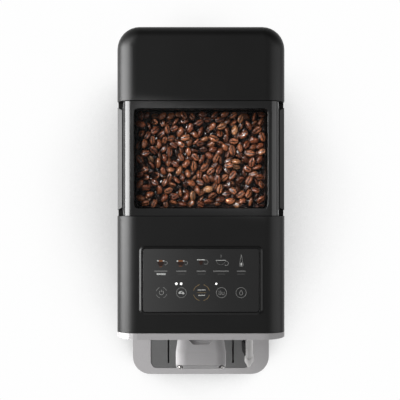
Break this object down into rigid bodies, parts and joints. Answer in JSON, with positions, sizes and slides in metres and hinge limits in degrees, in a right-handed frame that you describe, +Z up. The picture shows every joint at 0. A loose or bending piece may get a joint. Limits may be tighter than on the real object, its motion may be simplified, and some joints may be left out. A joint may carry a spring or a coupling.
{
  "type": "bean to cup coffee machine",
  "caption": "Slim bean to cup coffee machine with a windowed bean hopper, touch panel, height-adjustable coffee spout, swivelling steam wand, lift-out water tank and slide-out drip tray.",
  "frame": {"origin": "on the worktop, under the middle of the machine's bounding box", "axes": "+Z up, the front with the spout faces -Y, +X is the right hand side seen from the front"},
  "size_m": [0.178, 0.409, 0.337],
  "materials": {
    "matte_black": "fine grained moulded plastic",
    "gloss_black": "polished",
    "black_glass": "satin, black backed",
    "silver": "silver pearl, satin",
    "grid_grey": "satin",
    "steel": "polished stainless steel",
    "rubber": "dull",
    "clear": "clear, polished",
    "smoked": "smoke tinted, clear",
    "bean": "roasted coffee beans",
    "works_plastic": "dull",
    "aluminium": "satin",
    "board": "green solder mask",
    "tube": "milky silicone",
    "float_red": "satin"
  },
  "bodies": {
    "machine": {"base_pan": "matte_black", "power_inlet": "works_plastic", "foot_front_left": "rubber", "foot_front_right": "rubber", "foot_rear_left": "rubber", "foot_rear_right": "rubber", "side_panel_left": "matte_black", "side_panel_right": "matte_black", "rear_panel": "matte_black", "tank_socket": "works_plastic", "tank_bulkhead": "works_plastic", "front_cover": "matte_black", "touch_panel": "black_glass", "control_board": "board", "front_bezel": "silver", "front_panel": "silver", "spout_column": "silver", "wand_socket": "silver", "hopper_deck": "matte_black", "bean_hopper": "gloss_black", "bean_fill": "bean", "grinder_housing": "works_plastic", "upper_burr": "steel", "grinder_motor": "steel", "motor_bracket": "aluminium", "grinder_chute": "works_plastic", "brew_frame": "works_plastic", "brew_chamber": "works_plastic", "water_heater": "aluminium", "water_pump": "works_plastic", "water_tube": "tube", "heater_tube": "tube", "brew_tube": "tube", "steam_tube": "tube", "power_board": "board"},
    "switch": {"power_switch": "gloss_black"},
    "door": {"service_door": "matte_black"},
    "tank": {"water_tank": "smoked"},
    "tank_valve": {"tank_valve": "works_plastic"},
    "tank_lid": {"tank_lid": "matte_black"},
    "hopper_lid": {"hopper_lid": "gloss_black", "lid_window": "clear", "lid_seal": "rubber"},
    "burr": {"lower_burr": "steel", "burr_gear": "works_plastic"},
    "pinion": {"motor_pinion": "aluminium"},
    "tray": {"drip_tray": "silver", "grounds_container": "works_plastic", "grounds_front": "silver"},
    "grid": {"drip_grid": "grid_grey"},
    "float": {"drip_float": "float_red"},
    "spout": {"spout_body": "silver", "spout_nozzle_left": "steel", "spout_nozzle_right": "steel"},
    "wand_base": {"wand_ball": "steel"},
    "wand": {"wand_tube": "steel", "wand_nozzle": "steel", "wand_grip": "rubber"},
    "piston": {"brew_piston": "aluminium"}
  },
  "joints": [
    {"name": "hopper_lid_lift", "type": "slide", "parent": "machine", "child": "hopper_lid", "axis": [0, 0, 1], "range_m": [0, 0.1]},
    {"name": "tank_lift", "type": "slide", "parent": "machine", "child": "tank", "axis": [0, 0, 1], "range_m": [0, 0.28]},
    {"name": "tank_lid_lift", "type": "slide", "parent": "tank", "child": "tank_lid", "axis": [0, 0, 1], "range_m": [0, 0.06]},
    {"name": "valve_lift", "type": "slide", "parent": "tank", "child": "tank_valve", "axis": [0, 0, 1], "range_m": [0, 0.003]},
    {"name": "tray_slide", "type": "slide", "parent": "machine", "child": "tray", "axis": [0, -1, 0], "range_m": [0, 0.2]},
    {"name": "grid_lift", "type": "slide", "parent": "tray", "child": "grid", "axis": [0, 0, 1], "range_m": [0, 0.04]},
    {"name": "float_rise", "type": "slide", "parent": "tray", "child": "float", "axis": [0, 0, 1], "range_m": [0, 0.012]},
    {"name": "spout_height", "type": "slide", "parent": "machine", "child": "spout", "axis": [0, 0, 1], "range_m": [-0.017, 0.03]},
    {"name": "wand_swivel", "type": "hinge", "parent": "machine", "child": "wand_base", "pos_m": [0.054, -0.1125, 0.25], "axis": [0, 0, 1], "range_deg": [-20, 45]},
    {"name": "wand_tilt", "type": "hinge", "parent": "wand_base", "child": "wand", "pos_m": [0.054, -0.1125, 0.25], "axis": [1, 0, 0], "range_deg": [-6, 24]},
    {"name": "burr_spin", "type": "hinge", "parent": "machine", "child": "burr", "pos_m": [0, 0.06415, 0.19], "axis": [0, 0, 1], "continuous": true},
    {"name": "pinion_spin", "type": "hinge", "parent": "machine", "child": "pinion", "pos_m": [0, 0.03215, 0.19], "axis": [0, 0, 1], "continuous": true},
    {"name": "piston_stroke", "type": "slide", "parent": "machine", "child": "piston", "axis": [0, 0, 1], "range_m": [0, 0.03]},
    {"name": "service_door_hinge", "type": "hinge", "parent": "machine", "child": "door", "pos_m": [0.089, 0.0996, 0.171], "axis": [0, 0, 1], "range_deg": [0, 110]},
    {"name": "switch_rock", "type": "hinge", "parent": "machine", "child": "switch", "pos_m": [0.044, 0.19861, 0.0258], "axis": [0, 0, 1], "range_deg": [-16, 0]}
  ],
  "couplings": [
    {"joint": "pinion_spin", "follows": "burr_spin", "ratio": -3}
  ]
}
